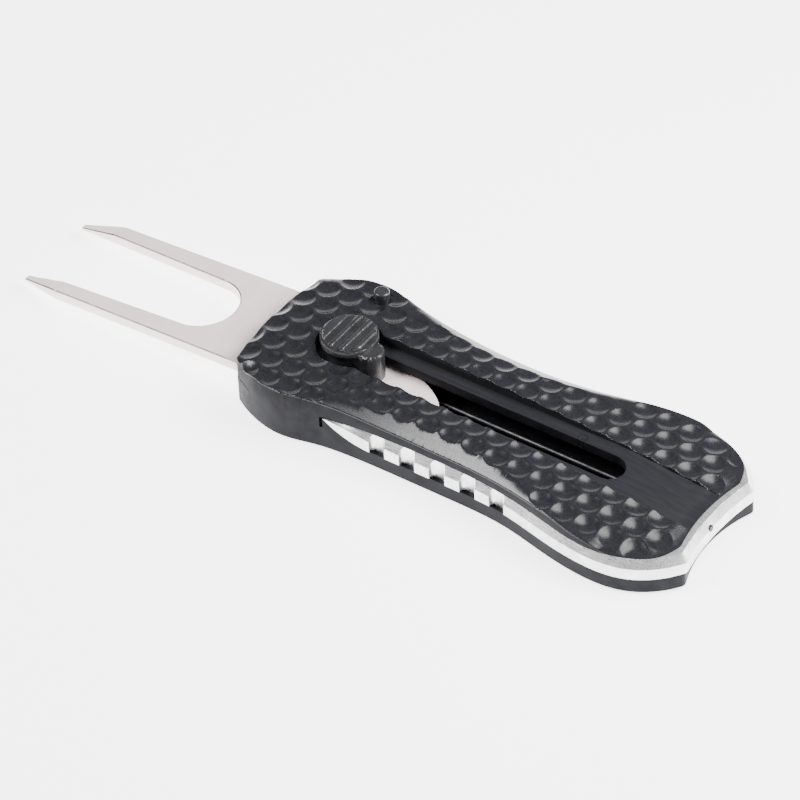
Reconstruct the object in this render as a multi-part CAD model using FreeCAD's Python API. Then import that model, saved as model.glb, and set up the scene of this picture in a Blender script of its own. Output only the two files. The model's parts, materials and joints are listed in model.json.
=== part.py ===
"""Divot repair tool with a fork blade that slides in and out of a dimpled handle.

All sizes are in millimetres.  +X runs from the fork tips to the tail of the handle, +Y points to
the side with the lock pin, +Z points out of the dimpled top.  z = 0 is the flat underside.
"""
import FreeCAD
import Part
import math
import os

V = FreeCAD.Vector

# ---- handle outline, seen from above: (x, half width) from the nose corner to the tail horn ----
SHELL_SIDE = [(-16.8, 10.2), (-12.7, 12.3), (-6.8, 13.3), (-2.2, 12.4), (2.2, 11.65), (8.5, 11.15),
              (18.0, 10.95), (27.3, 11.4), (36.7, 13.1), (44.5, 14.4), (50.3, 13.3), (54.2, 10.6),
              (55.5, 7.4)]
NOSE_X = -17.75            # middle of the bowed front face
NOTCH_X = 54.55            # bottom of the shallow notch in the tail
BOTTOM_SIDE = [(-16.8, 10.2), (-12.7, 12.3), (-6.8, 13.3), (-2.2, 12.4), (2.2, 11.85),
               (9.0, 11.65), (20.0, 11.65), (30.0, 12.15), (36.9, 13.6), (44.0, 14.65),
               (50.1, 14.1), (54.8, 11.3), (57.0, 8.6)]
BOTTOM_NOTCH_X = 55.2
FRAME_SIDE = [(-3.0, 12.55), (2.2, 11.95), (9.0, 11.75), (20.0, 11.75), (30.0, 12.25),
              (36.9, 13.7), (44.0, 14.75), (50.1, 14.2), (54.8, 11.4), (57.2, 8.5)]
FRAME_NOTCH_X = 56.3
CORNER_R = 1.0             # upright corners of the shells
HORN_R = 0.85              # upright corners of the frame
BOTTOM_CHAMFER = 0.45
FRAME_BEVEL = 0.7

# ---- heights ----
FLOOR_Z = 1.2              # pocket floor inside the bottom shell
FRAME_Z0 = 2.8             # centre frame, lower and upper face
FRAME_Z1 = 5.9
SEAM_Z = 4.8               # parting face of the two shells in the front block
POCKET_Z1 = 5.95           # roof of the blade pocket
CHANNEL_Z = 7.4            # floor of the thumb channel
DECK_Z = 9.22              # highest line of the arched deck
DECK_X = 5.55              # where that highest line lies
DECK_R = 430.0             # arch along the handle
CROWN_R = 185.0            # slight crown across the handle
SKY_Z = 14.0               # above everything, for cutting tools

# ---- window in the side: the frame ends in a curved tip behind a narrow gap ----
GAP_X = (-1.15, -0.65)
GAP_Z = 4.1                # foot of the gap
WINDOW_TIP_X = -0.5
WINDOW_FOOT_X = 7.2        # from here on the frame has its full height

# ---- smooth thumb flanks: shallow cones about upright axes beside the waist ----
FLANK_X = 16.25
FLANK_EDGE = 8.4           # deck edge from the centreline at the waist
FLANK_R = 66.0
FLANK_SLOPE = 33.0         # degrees
FLANK_TILT = 1.43          # degrees, follows the arch of the deck
FLANK_SPAN = (-7.5, 37.0)  # stretch of the handle that has flanks

# ---- dimples ----
PITCH = 3.8
ROW_STEP = PITCH * math.sqrt(3) / 2
DIMPLE_D = 3.6
DIMPLE_DEPTH = 0.55
DIMPLE_X0 = -10.05         # a dimple of the even rows sits here

# ---- thumb channel, slot and button ----
CHANNEL_Y = (-4.0, 3.9)
CHANNEL_SINK = 0.5         # depth of the channel where it follows the deck to the tail
BUTTON_X = -4.45
BUTTON_Y = 0.2
BUTTON_D = 8.4
BUTTON_BASE_D = 7.0
BUTTON_BASE_Z = 7.65
BUTTON_HEAD_Z = 9.55
BUTTON_TOP_Z = 11.0
BUTTON_POCKET_D = 9.6
FOOT_Y = (-2.45, 1.35)     # block under the button that fills the width of the slot
FOOT_X = (-6.35, 1.65)
FOOT_TOP_Z = 10.0
RIB_COUNT = 4
RIB_PITCH = 1.8
RIB_W = 0.9
RIB_H = 0.5
SLOT_Y = (-2.9, 1.8)
SLOT_X = (-6.8, 41.75)
DETENT = (33.25, 2.35)
DETENT_D = 1.3

# ---- fork blade ----
BLADE_Z = 3.9
BLADE_T = 1.6
DROOP = 3.2                # degrees, nose of the blade from the bend outwards
BEND_X = -16.75
BLADE_HALF = 8.7
BLADE_REAR_X = 1.25
TIP_X = -57.25
TIP_Y = (6.3, 7.2)         # inner and outer corner of a prong tip
TIP_T = 0.3
SHOULDER_X = -50.75        # here the prongs start to taper
SHOULDER_Y = 8.4
GAP_CENTRE_X = -30.35
GAP_R = 5.4
TANG_Y = (-4.6, 2.5)
POCKET_HALF = 9.1
POCKET_END_X = 52.55
TRAVEL = 39.5

# ---- guide rods, carriage, springs ----
ROD_Y = 2.4
ROD_Z = 2.4
ROD_R = 0.4
ROD_X = (-14.75, 51.25)
BOSS_X = (-15.75, -9.85)   # front anchor of the rods, part of the bottom shell
BOSS_HALF = 4.3
ANCHOR_Z = 3.3             # top of the front boss and the tail block
CARRIAGE_X = (-8.75, -0.25)
CARRIAGE_HALF = 4.0
CARRIAGE_Z = (1.6, 3.9)
TAIL_BLOCK_X = 46.75
STEM_Y = (SLOT_Y[0] + SLOT_Y[1]) / 2
STEM_R = 1.1
STEM_FOOT_Z = 1.4
CLIP_Z = (1.6, 1.85)
CLIP_R = 1.8
WASHER_R = 3.4
WASHER_T = 0.18
SPRING_R = 0.75
SPRING_WIRE = 0.15

# ---- lock pin ----
LOCK = (-6.25, 10.6)
LOCK_R = 1.15
LOCK_TOP_Z = 10.1
LOCK_SHAFT_R = 0.6
LOCK_SHAFT_Z = 3.4
LOCK_COLLAR_R = 1.65
LOCK_BORE_R = 1.95
LOCK_COLLAR_Z = (4.7, 5.7)
LOCK_CUP_Z = 1.6
LOCK_RECESS_R = 1.6
LOCK_RECESS = 0.35

# ---- fasteners ----
SCREWS = [(-12.05, 10.1, 7.2), (45.75, 10.9, 6.4)]    # x, half spacing, top of the shank
SCREW_HEAD_R = 1.4
SCREW_HEAD_Z = (0.1, 1.0)
SCREW_R = 0.8
HEXAGON_R = 0.7
DOWELS = [(4.75, 10.2), (32.25, 10.6)]
DOWEL_R = 0.6
DOWEL_Z = (1.6, 6.8)
TAIL_PIN = (53.75, -1.0, 4.6)
TAIL_PIN_R = 0.5

# ---- glide strips in the roof of the pocket ----
STRIP_X = (-15.25, 44.75)
STRIP_Y = (5.4, 7.4)
STRIP_Z = (5.62, 6.25)

# ---- grip notches in the rim ----
NOTCH_START = 8.25
NOTCH_PITCH = 5.06
NOTCH_COUNT = 5
NOTCH_W = 2.6
NOTCH_DEPTH = 0.9
NOTCH_CORNER_R = 0.85


def box(x, y, z):
    """Box between the two limits given for each axis."""
    return Part.makeBox(x[1] - x[0], y[1] - y[0], z[1] - z[0], V(x[0], y[0], z[0]))


def rod(radius, start, length, direction):
    return Part.makeCylinder(radius, length, V(*start), V(*direction))


def post(radius, centre, z0, z1):
    """Upright round post."""
    return Part.makeCylinder(radius, z1 - z0, V(centre[0], centre[1], z0))


def ring(outer, inner, centre, z0, z1):
    return post(outer, centre, z0, z1).cut(post(inner, centre, z0, z1))


def side_prism(edges, y0, y1):
    """Closed outline drawn in the XZ plane, thickened from y0 to y1."""
    wire = Part.Wire(Part.__sortEdges__(edges))
    face = Part.Face(wire)
    face.translate(V(0, y0, 0))
    return face.extrude(V(0, y1 - y0, 0))


def path(points, y=0.0):
    """Straight edges through points of the XZ plane."""
    corners = [V(x, y, z) for x, z in points]
    return [Part.makeLine(a, b) for a, b in zip(corners, corners[1:])]


def half_width(side, x):
    """Half width of an outline at x, straight between its points."""
    for (xa, ya), (xb, yb) in zip(side, side[1:]):
        if xa <= x <= xb:
            return ya + (yb - ya) * (x - xa) / (xb - xa)
    return 0.0


def deck_height(x, y):
    return DECK_Z - (x - DECK_X) ** 2 / (2 * DECK_R) - y ** 2 / (2 * CROWN_R)


def plan_prism(side, nose, notch, z0, z1):
    """Mirrored side curves, closed by an arc at the nose and one at the tail notch."""
    curves = []
    for sign in (1, -1):
        spline = Part.BSplineCurve()
        spline.interpolate([V(x, sign * y, 0) for x, y in side])
        curves.append(spline.toShape())
    for (x, y), middle in ((side[0], nose), (side[-1], notch)):
        curves.append(Part.Arc(V(x, y, 0), V(middle, 0, 0), V(x, -y, 0)).toShape())
    wire = Part.Wire(Part.__sortEdges__(curves))
    wire.translate(V(0, 0, z0))
    return Part.Face(wire).extrude(V(0, 0, z1 - z0))


def round_corners(shape, radius):
    """Round the upright corner edges of a plan prism."""
    upright = [e for e in shape.Edges if abs(e.tangentAt(e.FirstParameter).z) > 0.99]
    return shape.makeFillet(radius, upright)


def shell_prism(side, notch, z0, z1):
    return round_corners(plan_prism(side, NOSE_X, notch, z0, z1), CORNER_R)


def frame_prism(z0, z1):
    """Outline of the centre frame; its front end is cut off later by the window curve."""
    front_x, front_half = FRAME_SIDE[0]
    body = plan_prism(FRAME_SIDE, front_x - 1, FRAME_NOTCH_X, z0, z1)
    return round_corners(body, HORN_R)


def blade_pocket():
    """Flat room in which the blade and the carriage slide, open at the nose."""
    return box((NOSE_X - 2, POCKET_END_X), (-POCKET_HALF, POCKET_HALF), (FLOOR_Z, POCKET_Z1))


def window_curve():
    """Front end of the frame: an arc that runs out level at the frame's lower face."""
    rise = FRAME_Z1 - FRAME_Z0
    run = WINDOW_FOOT_X - WINDOW_TIP_X
    radius = (rise ** 2 + run ** 2) / (2 * rise)
    middle = run / 2
    middle_z = FRAME_Z0 + radius - math.sqrt(radius ** 2 - middle ** 2)
    return Part.Arc(V(WINDOW_TIP_X, 0, FRAME_Z1), V(WINDOW_FOOT_X - middle, 0, middle_z),
                    V(WINDOW_FOOT_X, 0, FRAME_Z0)).toShape()


def lock_bore():
    bore = post(LOCK_R + 0.1, LOCK, 0, SKY_Z)
    return bore.fuse(post(LOCK_BORE_R, LOCK, 0, POCKET_Z1))


def screw_points():
    return [(x, sign * y, top) for x, y, top in SCREWS for sign in (-1, 1)]


def screw(x, y, top):
    """Cheese head screw with a hexagon socket, driven from below."""
    low, high = SCREW_HEAD_Z
    corners = [math.radians(60 * k) for k in range(7)]
    hexagon = Part.makePolygon([V(x + HEXAGON_R * math.cos(a), y + HEXAGON_R * math.sin(a), low)
                                for a in corners])
    socket = Part.Face(hexagon).extrude(V(0, 0, 0.5))
    body = post(SCREW_HEAD_R, (x, y), low, high).fuse(post(SCREW_R, (x, y), high, top))
    return body.removeSplitter().cut(socket)


def dowel_points():
    return [(x, sign * y) for x, y in DOWELS for sign in (-1, 1)]


def housing_screws():
    return Part.makeCompound([screw(x, y, top) for x, y, top in screw_points()])


def frame_dowels():
    return Part.makeCompound([post(DOWEL_R, point, *DOWEL_Z) for point in dowel_points()])


def fastener_holes():
    """Room for the screws and dowels, to be cut from the three housing layers."""
    holes = [post(SCREW_HEAD_R + 0.1, (x, y), 0, SCREW_HEAD_Z[1]) for x, y, top in screw_points()]
    holes += [post(SCREW_R, (x, y), 0.5, top) for x, y, top in screw_points()]
    holes += [post(DOWEL_R, point, *DOWEL_Z) for point in dowel_points()]
    return holes


def guide_rods():
    length = ROD_X[1] - ROD_X[0]
    rods = [rod(ROD_R, (ROD_X[0], sign * ROD_Y, ROD_Z), length, (1, 0, 0)) for sign in (-1, 1)]
    return Part.makeCompound(rods)


def bottom_shell():
    """Flat lower half with the front boss that carries the guide rods."""
    body = shell_prism(BOTTOM_SIDE, BOTTOM_NOTCH_X, 0, FRAME_Z1)
    bottom = [e for e in body.Edges if e.BoundBox.ZMax < 0.01]
    body = body.makeChamfer(BOTTOM_CHAMFER, bottom)
    edges = path([(WINDOW_FOOT_X, FRAME_Z0), (70, FRAME_Z0), (70, -1), (-30, -1), (-30, SEAM_Z),
                  (GAP_X[0], SEAM_Z), (GAP_X[0], GAP_Z), (GAP_X[1], GAP_Z), (GAP_X[1], FRAME_Z1),
                  (WINDOW_TIP_X, FRAME_Z1)])
    body = body.common(side_prism(edges + [window_curve()], -20, 20))
    body = body.cut(blade_pocket())
    body = body.cut([lock_bore()] + fastener_holes())
    boss = box(BOSS_X, (-BOSS_HALF, BOSS_HALF), (FLOOR_Z, ANCHOR_Z))
    return body.fuse(boss).removeSplitter().cut(guide_rods())


def center_frame():
    """Bright U-shaped frame between the shells, with grip notches along both sides."""
    body = frame_prism(FRAME_Z0, FRAME_Z1)
    rim = [e for e in body.Edges if e.BoundBox.ZMin > FRAME_Z1 - 0.01]
    body = body.makeChamfer(FRAME_BEVEL, rim)
    over = FRAME_Z1 + 1
    edges = path([(WINDOW_FOOT_X, FRAME_Z0), (70, FRAME_Z0), (70, over), (WINDOW_TIP_X, over),
                  (WINDOW_TIP_X, FRAME_Z1)])
    body = body.common(side_prism(edges + [window_curve()], -20, 20))
    body = body.cut(blade_pocket())
    for sign in (-1, 1):
        for k in range(NOTCH_COUNT):
            body = body.cut(grip_notch(NOTCH_START + k * NOTCH_PITCH, sign))
    holes = fastener_holes()
    holes.append(tail_pin())
    return body.cut(holes)


def grip_notch(x, sign):
    """Rounded notch that bites into the rim at x."""
    reach = half_width(FRAME_SIDE, x) - NOTCH_DEPTH
    tool = box((x - NOTCH_W / 2, x + NOTCH_W / 2), (reach, reach + 5), (0, 10))
    corners = [e for e in tool.Edges if e.BoundBox.ZLength > 5 and e.BoundBox.YMin < reach + 1]
    tool = tool.makeFillet(NOTCH_CORNER_R, corners)
    if sign < 0:
        tool = tool.mirror(V(0, 0, 0), V(0, 1, 0))
    return tool


def deck_barrel():
    """Everything under the arched and slightly crowned deck."""
    half = 20.0
    drop = half ** 2 / (2 * CROWN_R)
    top = Part.Arc(V(DECK_X, -half, DECK_Z - drop), V(DECK_X, 0, DECK_Z),
                   V(DECK_X, half, DECK_Z - drop)).toShape()
    ends = Part.makePolygon([V(DECK_X, half, DECK_Z - drop), V(DECK_X, half, -20),
                             V(DECK_X, -half, -20), V(DECK_X, -half, DECK_Z - drop)])
    face = Part.Face(Part.Wire(Part.__sortEdges__([top] + ends.Edges)))
    axis_point = V(DECK_X, 0, DECK_Z - DECK_R)
    face.rotate(axis_point, V(0, 1, 0), -8)
    return face.revolve(axis_point, V(0, 1, 0), 16)


def flank_cone(sign):
    """Tool that slopes the deck down to the outline beside the waist."""
    up = 6.0
    down = 8.0
    run = 1 / math.tan(math.radians(FLANK_SLOPE))
    centre = V(FLANK_X, sign * (FLANK_EDGE + FLANK_R), deck_height(FLANK_X, FLANK_EDGE))
    cone = Part.makeCone(FLANK_R - down * run, FLANK_R + up * run, down + up,
                         centre - V(0, 0, down))
    cone.rotate(centre, V(0, 1, 0), FLANK_TILT)
    return cone


def flank_edge(x):
    """Distance of the flank's upper edge from the centreline."""
    return FLANK_EDGE + (x - FLANK_X) ** 2 / (2 * FLANK_R)


def is_dimpled(x, y):
    """True where the deck carries a dimple; its edges may cut the outer ones."""
    in_channel = CHANNEL_Y[0] < y < CHANNEL_Y[1] and x > BUTTON_X
    under_button = math.hypot(x - BUTTON_X, y - BUTTON_Y) < BUTTON_POCKET_D / 2
    at_lock = math.hypot(x - LOCK[0], y - LOCK[1]) < 2.0
    off_deck = abs(y) > half_width(SHELL_SIDE, x) or not NOSE_X < x < NOTCH_X
    on_flank = FLANK_SPAN[0] < x < FLANK_SPAN[1] and abs(y) > flank_edge(x) + 0.6
    return not (in_channel or under_button or at_lock or off_deck or on_flank)


def dimples():
    """Hexagonal field of shallow ball-shaped hollows."""
    radius = (DIMPLE_D ** 2 / 4 + DIMPLE_DEPTH ** 2) / (2 * DIMPLE_DEPTH)
    balls = []
    for row in range(-3, 7):
        y = (row - 1.5) * ROW_STEP
        for column in range(-2, 18):
            x = DIMPLE_X0 + PITCH * (column + 0.5 * (row % 2))
            if is_dimpled(x, y):
                z = deck_height(x, y) - DIMPLE_DEPTH + radius
                balls.append(Part.makeSphere(radius, V(x, y, z)))
    return balls


def channel_tool():
    """Thumb channel: level floor first, then parallel to the deck down to the tail notch."""
    start = BUTTON_X
    depth_r = DECK_R - CHANNEL_SINK
    join = DECK_X + math.sqrt(depth_r ** 2 - (depth_r - DECK_Z + CHANNEL_SINK + CHANNEL_Z) ** 2)

    def on_arc(x):
        return DECK_Z - DECK_R + math.sqrt(depth_r ** 2 - (x - DECK_X) ** 2)

    end = NOTCH_X + 5
    middle = (join + end) / 2
    arc = Part.Arc(V(join, 0, CHANNEL_Z), V(middle, 0, on_arc(middle)), V(end, 0, on_arc(end)))
    edges = path([(end, on_arc(end)), (end, SKY_Z), (start, SKY_Z), (start, CHANNEL_Z),
                  (join, CHANNEL_Z)])
    return side_prism(edges + [arc.toShape()], *CHANNEL_Y)


def stadium(x, y, z):
    """Upright block with half-round ends that fills the given ranges."""
    radius = (y[1] - y[0]) / 2
    middle = (y[0] + y[1]) / 2
    ends = [post(radius, (centre, middle), *z) for centre in (x[0] + radius, x[1] - radius)]
    return box((x[0] + radius, x[1] - radius), y, z).fuse(ends).removeSplitter()


def slot_tool():
    """Long slot with round ends, through the channel floor."""
    return stadium(SLOT_X, SLOT_Y, (4, SKY_Z))


def strip_boxes():
    """The two glide strips let into the roof of the pocket."""
    near, far = STRIP_Y
    return [box(STRIP_X, (near, far), STRIP_Z), box(STRIP_X, (-far, -near), STRIP_Z)]


def detent_post(z0, z1):
    return post(DETENT_D / 2, DETENT, z0, z1)


def top_shell():
    """Dimpled upper half with flanks, thumb channel, slot and lock pin bore."""
    body = shell_prism(SHELL_SIDE, NOTCH_X, SEAM_Z, SKY_Z).common(deck_barrel())
    body = body.cut(dimples())
    body = body.cut([flank_cone(-1), flank_cone(1)])
    button_pocket = post(BUTTON_POCKET_D / 2, (BUTTON_X, BUTTON_Y), CHANNEL_Z, SKY_Z)
    body = body.cut([channel_tool(), button_pocket])
    body = body.cut([slot_tool(), detent_post(POCKET_Z1 - 1, SKY_Z)])
    recess = post(LOCK_RECESS_R, LOCK, deck_height(*LOCK) - LOCK_RECESS, SKY_Z)
    body = body.cut([recess, lock_bore()])
    body = body.cut(box((GAP_X[0], 70), (-20, 20), (0, FRAME_Z1)))
    body = body.cut([blade_pocket()] + fastener_holes())
    return body.cut(strip_boxes())


def glide_strips():
    return Part.makeCompound(strip_boxes())


def detent_pin():
    """Small stop pin in the channel floor beside the slot, cut by the slot wall."""
    return detent_post(POCKET_Z1, CHANNEL_Z).cut(slot_tool())


def tail_pin():
    """Small cross pin in the tail of the frame."""
    return rod(TAIL_PIN_R, TAIL_PIN, FRAME_NOTCH_X - TAIL_PIN[0] - 0.05, (1, 0, 0))


def tail_block():
    """Anchor for the rear ends of the guide rods."""
    block = box((TAIL_BLOCK_X, POCKET_END_X), (-4.5, 4.5), (FLOOR_Z, ANCHOR_Z))
    upright = [e for e in block.Edges if e.BoundBox.ZLength > 1]
    return block.makeFillet(0.6, upright).cut(guide_rods())


def helix_spring(radius, wire_radius, length, turns):
    """Round wire wound along +Z from the origin."""
    height = length - 2 * wire_radius
    helix = Part.makeHelix(height / turns, height, radius)
    helix.translate(V(0, 0, wire_radius))
    circle = Part.Wire(Part.makeCircle(wire_radius, V(radius, 0, wire_radius), V(0, 1, 0)))
    return Part.Wire(helix).makePipeShell([circle], True, True)


def drive_spring():
    """Push spring on one guide rod, between the carriage and the tail block."""
    spring = helix_spring(SPRING_R, SPRING_WIRE, TAIL_BLOCK_X - CARRIAGE_X[1], 22)
    spring.rotate(V(0, 0, 0), V(0, 1, 0), 90)
    spring.translate(V(CARRIAGE_X[1], -ROD_Y, ROD_Z))
    return spring


def lock_spring():
    spring = helix_spring(1.1, 0.14, LOCK_COLLAR_Z[0] - LOCK_CUP_Z, 4)
    spring.translate(V(LOCK[0], LOCK[1], LOCK_CUP_Z))
    return spring


def lock_spring_cup():
    """Plug that closes the lock bore from below and seats its spring."""
    return post(LOCK_BORE_R, LOCK, 0.1, LOCK_CUP_Z).cut(post(0.5, LOCK, 0, 0.7))


def front_bumper():
    """Elastic pad the carriage rests against when the fork is out."""
    pad = box((BOSS_X[1], CARRIAGE_X[0] - 0.02), (-3.6, 3.6), (CARRIAGE_Z[0], ANCHOR_Z))
    return pad.cut(clearance_rods(0.3))


def rear_bumper():
    """Sleeve on the second guide rod that ends the stroke."""
    start = CARRIAGE_X[1] + TRAVEL + 0.02
    length = TAIL_BLOCK_X - start
    sleeve = rod(0.85, (start, ROD_Y, ROD_Z), length, (1, 0, 0))
    return sleeve.cut(rod(ROD_R, (start, ROD_Y, ROD_Z), length, (1, 0, 0)))


def clearance_rods(gap):
    length = ROD_X[1] - ROD_X[0]
    return [rod(ROD_R + gap, (ROD_X[0], sign * ROD_Y, ROD_Z), length, (1, 0, 0))
            for sign in (-1, 1)]


def fork_plan():
    """Blade seen from above: two prongs and a gap with a round bottom."""
    tip_in, tip_out = TIP_Y
    outline = [(BLADE_REAR_X, BLADE_HALF), (BEND_X, BLADE_HALF), (SHOULDER_X, SHOULDER_Y),
               (TIP_X, tip_out), (TIP_X, tip_in), (GAP_CENTRE_X, GAP_R)]
    upper = [V(x, y, 0) for x, y in outline]
    lower = [V(p.x, -p.y, 0) for p in reversed(upper)]
    edges = [Part.makeLine(a, b) for a, b in zip(upper, upper[1:])]
    edges += [Part.makeLine(a, b) for a, b in zip(lower, lower[1:])]
    edges.append(Part.Arc(upper[-1], V(GAP_CENTRE_X + GAP_R, 0, 0), lower[0]).toShape())
    edges.append(Part.makeLine(lower[-1], upper[0]))
    return Part.Face(Part.Wire(Part.__sortEdges__(edges)))


def tang_plan():
    """Finger behind the blade, wider on the -Y side and rounded off towards the slot."""
    low, high = TANG_Y
    start = BLADE_REAR_X - 1
    shoulder = V(5.2, high, 0)
    nose = V(12.1, -1.7, 0)
    corner = V(10.95, low, 0)
    curves = [Part.Arc(shoulder, V(9.3, 0.9, 0), nose), Part.Arc(nose, V(12.15, -3.6, 0), corner)]
    base = [corner, V(start, low, 0), V(start, high, 0), shoulder]
    edges = [c.toShape() for c in curves] + [Part.makeLine(a, b) for a, b in zip(base, base[1:])]
    return Part.Face(Part.Wire(Part.__sortEdges__(edges)))


def fork_blade():
    """Spring-steel fork, bent down a little in front of the mouth, with chisel tips."""
    plan = fork_plan().extrude(V(0, 0, SKY_Z)).fuse(tang_plan().extrude(V(0, 0, SKY_Z)))
    slope = math.tan(math.radians(DROOP))
    tip_z = BLADE_Z - (BEND_X - TIP_X) * slope
    shoulder_z = BLADE_Z - (BEND_X - SHOULDER_X) * slope + BLADE_T
    side = [(20, BLADE_Z), (BEND_X, BLADE_Z), (TIP_X, tip_z), (TIP_X, tip_z + TIP_T),
            (SHOULDER_X, shoulder_z), (BEND_X, BLADE_Z + BLADE_T), (20, BLADE_Z + BLADE_T)]
    profile = side_prism(path(side + side[:1]), -20, 20)
    blade = plan.removeSplitter().common(profile)
    lock_notch = post(0.8, (LOCK[0], BLADE_HALF + 0.35), 0, SKY_Z)
    return blade.cut([lock_notch, post(STEM_R, (BUTTON_X, STEM_Y), 0, SKY_Z)])


def button_foot():
    """Block that carries the button through the slot and rests on the blade."""
    return stadium(FOOT_X, FOOT_Y, (BLADE_Z + BLADE_T, FOOT_TOP_Z))


def thumb_button():
    """Round button on its foot, with cross ribs on the rear two thirds."""
    centre = (BUTTON_X, BUTTON_Y)
    rib_foot_z = BUTTON_TOP_Z - RIB_H
    head = post(BUTTON_D / 2, centre, BUTTON_HEAD_Z, rib_foot_z)
    head = head.fuse([post(BUTTON_BASE_D / 2, centre, BUTTON_BASE_Z, BUTTON_HEAD_Z),
                      button_foot()])
    crown = post(BUTTON_D / 2 - 0.3, centre, rib_foot_z, BUTTON_TOP_Z)
    for k in range(RIB_COUNT):
        x = BUTTON_X - 1.6 + k * RIB_PITCH
        half_groove = (RIB_PITCH - RIB_W) / 2
        crown = crown.cut(box((x - half_groove, x + half_groove), (-6, 6), (rib_foot_z, SKY_Z)))
    button = head.fuse(crown).removeSplitter()
    return button.cut(post(STEM_R, (BUTTON_X, STEM_Y), 0, BUTTON_HEAD_Z))


def button_stem():
    """Pin from the button through its foot, the blade and the carriage."""
    centre = (BUTTON_X, STEM_Y)
    pin = post(STEM_R, centre, STEM_FOOT_Z, BUTTON_HEAD_Z)
    return pin.cut(ring(STEM_R + 0.5, STEM_R - 0.25, centre, *CLIP_Z))


def stem_washer():
    """Thin slider plate under the button, open at the rear where the foot passes."""
    z = (BUTTON_BASE_Z - WASHER_T, BUTTON_BASE_Z)
    return post(WASHER_R, (BUTTON_X, BUTTON_Y), *z).cut(button_foot())


def slide_carriage():
    """Block under the blade that runs on the two guide rods."""
    block = box(CARRIAGE_X, (-CARRIAGE_HALF, CARRIAGE_HALF), CARRIAGE_Z)
    upright = [e for e in block.Edges if e.BoundBox.ZLength > 1]
    block = block.makeFillet(0.8, upright)
    centre = (BUTTON_X, STEM_Y)
    recess = post(CLIP_R + 0.1, centre, 0, CLIP_Z[1])
    return block.cut(clearance_rods(0.05) + [recess, post(STEM_R, centre, 0, 5)])


def carriage_clip():
    """C-shaped retaining clip in the groove at the foot of the stem."""
    clip = ring(CLIP_R, STEM_R - 0.25, (BUTTON_X, STEM_Y), *CLIP_Z)
    mouth = box((BUTTON_X, BUTTON_X + 3), (STEM_Y - 0.6, STEM_Y + 0.6), (0, 3))
    return clip.cut(mouth)


def lock_pin():
    """Domed push pin that releases the blade."""
    pin = post(LOCK_R, LOCK, LOCK_COLLAR_Z[1], LOCK_TOP_Z)
    top = [e for e in pin.Edges if e.BoundBox.ZMin > LOCK_TOP_Z - 0.01]
    pin = pin.makeFillet(0.35, top)
    return pin.fuse(post(LOCK_SHAFT_R, LOCK, LOCK_SHAFT_Z, LOCK_COLLAR_Z[1]))


def lock_collar():
    return ring(LOCK_COLLAR_R, LOCK_SHAFT_R, LOCK, *LOCK_COLLAR_Z)


NODES = [bottom_shell, top_shell, center_frame, housing_screws, frame_dowels, guide_rods,
         tail_block, detent_pin, drive_spring, lock_spring, lock_spring_cup, front_bumper,
         rear_bumper, glide_strips, tail_pin, fork_blade, thumb_button, button_stem, stem_washer,
         slide_carriage, carriage_clip, lock_pin, lock_collar]

os.makedirs("parts", exist_ok=True)
for build in NODES:
    build().exportStep("parts/" + build.__name__ + ".step")
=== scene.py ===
"""Looks of the divot repair tool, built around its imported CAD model.

Shapes are worked out in millimetres in the frame of the CAD model and turned into metres when a
mesh is made.  +X runs from the fork tips to the tail, +Y to the side of the lock pin, +Z up.
"""

import json
import math

import bpy
import numpy as np
from mathutils import Matrix, Vector
from mathutils.geometry import delaunay_2d_cdt


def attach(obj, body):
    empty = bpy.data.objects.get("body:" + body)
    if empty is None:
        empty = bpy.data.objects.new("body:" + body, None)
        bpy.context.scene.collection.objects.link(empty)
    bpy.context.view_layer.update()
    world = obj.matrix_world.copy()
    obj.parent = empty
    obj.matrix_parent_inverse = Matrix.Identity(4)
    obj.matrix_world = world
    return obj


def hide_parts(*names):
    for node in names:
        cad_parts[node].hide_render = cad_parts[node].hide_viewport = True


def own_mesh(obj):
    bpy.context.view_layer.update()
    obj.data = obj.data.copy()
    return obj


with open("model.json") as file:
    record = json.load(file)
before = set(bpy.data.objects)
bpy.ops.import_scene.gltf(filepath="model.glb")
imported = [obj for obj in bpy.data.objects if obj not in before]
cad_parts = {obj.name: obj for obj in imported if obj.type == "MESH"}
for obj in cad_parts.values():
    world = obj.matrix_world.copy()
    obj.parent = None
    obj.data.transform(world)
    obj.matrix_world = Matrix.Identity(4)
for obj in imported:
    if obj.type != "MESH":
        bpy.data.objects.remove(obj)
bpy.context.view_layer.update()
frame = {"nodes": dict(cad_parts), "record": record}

MM = 0.001

# ---- handle outline: (x, half width), as in the CAD model ----
SHELL_SIDE = [(-16.8, 10.2), (-12.7, 12.3), (-6.8, 13.3), (-2.2, 12.4), (2.2, 11.65), (8.5, 11.15),
              (18.0, 10.95), (27.3, 11.4), (36.7, 13.1), (44.5, 14.4), (50.3, 13.3), (54.2, 10.6),
              (55.5, 7.4)]
NOSE_X = -17.75
NOTCH_X = 54.55
FRAME_SIDE = [(-3.0, 12.55), (2.2, 11.95), (9.0, 11.75), (20.0, 11.75), (30.0, 12.25),
              (36.9, 13.7), (44.0, 14.75), (50.1, 14.2), (54.8, 11.4), (57.2, 8.5)]
FRAME_NOTCH_X = 56.3
CORNER = 0.6
HORN = 0.6

# ---- heights ----
FRAME_Z0 = 2.8
FRAME_Z1 = 5.9
SEAM_Z = 4.8
POCKET_Z1 = 5.95
POCKET_HALF = 9.1
POCKET_END_X = 52.55
CHANNEL_Z = 7.4
DECK_Z = 9.22
DECK_X = 5.55
DECK_R = 430.0
CROWN_R = 185.0
ROLL = 0.5                 # the deck rolls off by this much ...
ROLL_REACH = 2.6           # ... over this distance from nose and tail
NOSE_EDGE_X = -14.0        # the outline ahead of this counts as nose ...
TAIL_EDGE_X = 47.0         # ... and behind this as tail
SHELL_LIP = 0.1            # the deck always ends at least this far above the frame
LIP_BLEND = 0.04

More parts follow.
